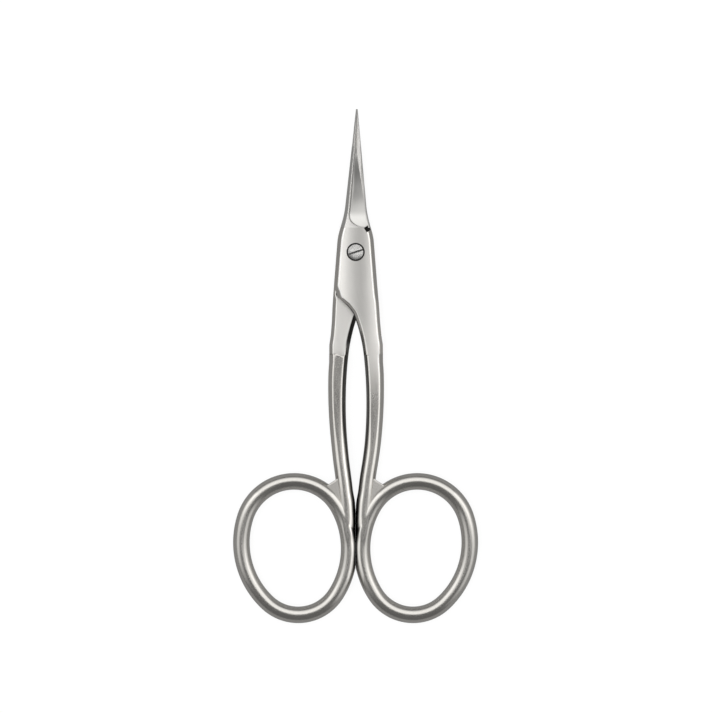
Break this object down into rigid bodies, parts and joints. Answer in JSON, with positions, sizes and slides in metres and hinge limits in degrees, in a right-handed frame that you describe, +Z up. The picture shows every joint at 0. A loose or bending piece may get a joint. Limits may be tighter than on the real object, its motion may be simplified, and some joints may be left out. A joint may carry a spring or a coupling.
{
  "type": "cuticle scissors",
  "caption": "Small all-steel scissors with slim curved pointed blades, two bowed shanks, oval finger rings and a slotted pivot screw.",
  "frame": {"origin": "on the pivot axis, in the back face that the closed scissors lie on", "axes": "+Y along the scissors to the tips, +Z up out of the screw's head along the pivot axis, +X to the front half's finger ring"},
  "size_m": [0.0502, 0.1052, 0.0057],
  "materials": {
    "satin_steel": "bead-blasted and tumbled satin",
    "blade_steel": "satin with a polished hollow-ground bevel",
    "screw_steel": "turned and polished"
  },
  "bodies": {
    "rear_half": {"rear_blade": "blade_steel", "rear_joint_pad": "satin_steel", "rear_shank": "satin_steel", "rear_finger_ring": "satin_steel"},
    "front_half": {"front_blade": "blade_steel", "front_joint_pad": "satin_steel", "front_shank": "satin_steel", "front_finger_ring": "satin_steel"},
    "screw": {"pivot_screw": "screw_steel"}
  },
  "joints": [
    {"name": "blade_pivot", "type": "hinge", "parent": "rear_half", "child": "front_half", "pos_m": [0, 0, 0.0017], "axis": [0, 0, 1], "range_deg": [0, 80]},
    {"name": "screw_turn", "type": "hinge", "parent": "rear_half", "child": "screw", "pos_m": [0, 0, 0.0017], "axis": [0, 0, 1], "range_deg": [-45, 45]}
  ]
}
